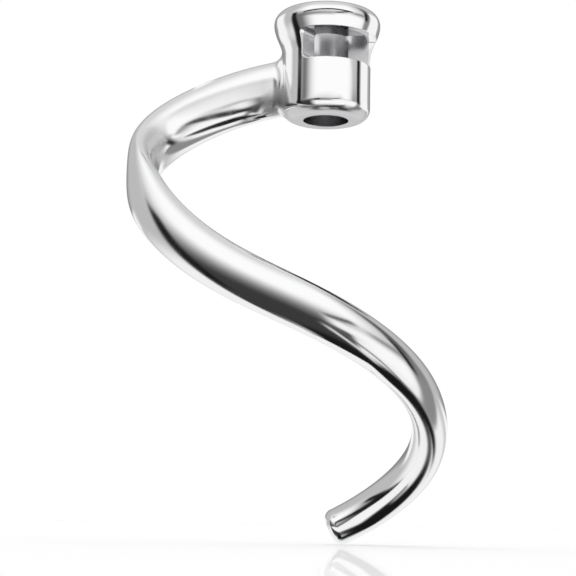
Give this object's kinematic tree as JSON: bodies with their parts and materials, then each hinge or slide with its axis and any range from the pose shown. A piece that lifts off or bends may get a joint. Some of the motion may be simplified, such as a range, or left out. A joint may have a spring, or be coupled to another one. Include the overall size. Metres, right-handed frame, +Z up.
{
  "type": "stand mixer dough hook",
  "caption": "Spiral dough hook of polished steel: a bored hub with a flared lip and a bayonet window, and a tapering rod that winds down and inward to a rounded tip.",
  "frame": {"origin": "centre of the shaft bore at the hub's lower face", "axes": "+Z up along the bore towards its mouth, +X away from the side where the rod leaves the hub, +Y to the back"},
  "size_m": [0.089, 0.0699, 0.1515],
  "materials": {
    "polished_steel": "stainless steel, mirror polished"
  },
  "bodies": {
    "root": {"dough_hook": "polished_steel"}
  },
  "joints": []
}
